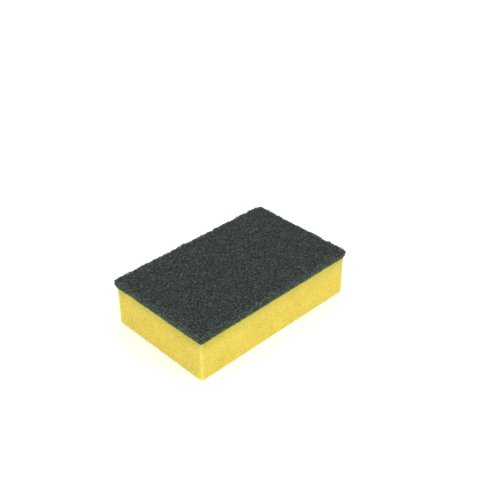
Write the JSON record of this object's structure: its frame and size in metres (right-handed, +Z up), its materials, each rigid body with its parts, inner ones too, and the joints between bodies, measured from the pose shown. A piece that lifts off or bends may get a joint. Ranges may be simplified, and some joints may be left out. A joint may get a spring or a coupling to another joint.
{
  "type": "sponge scourer",
  "caption": "Kitchen cleaning sponge: a block of open-celled yellow foam with a thin dark green-grey fibre scouring pad bonded on its top face, lying on its foam face.",
  "frame": {"origin": "centre of the foam's underside, on the surface that the sponge lies on", "axes": "+X along the length, +Y across the width, +Z up through the foam to the scouring pad"},
  "size_m": [0.147, 0.092, 0.038],
  "materials": {
    "foam": "soft open-celled polyurethane foam, fine even cells, cut faces",
    "web": "tangled non-woven nylon fibres set with resin and grit, rough and dull"
  },
  "bodies": {
    "root": {"foam_block": "foam", "scouring_pad": "web"}
  },
  "joints": []
}
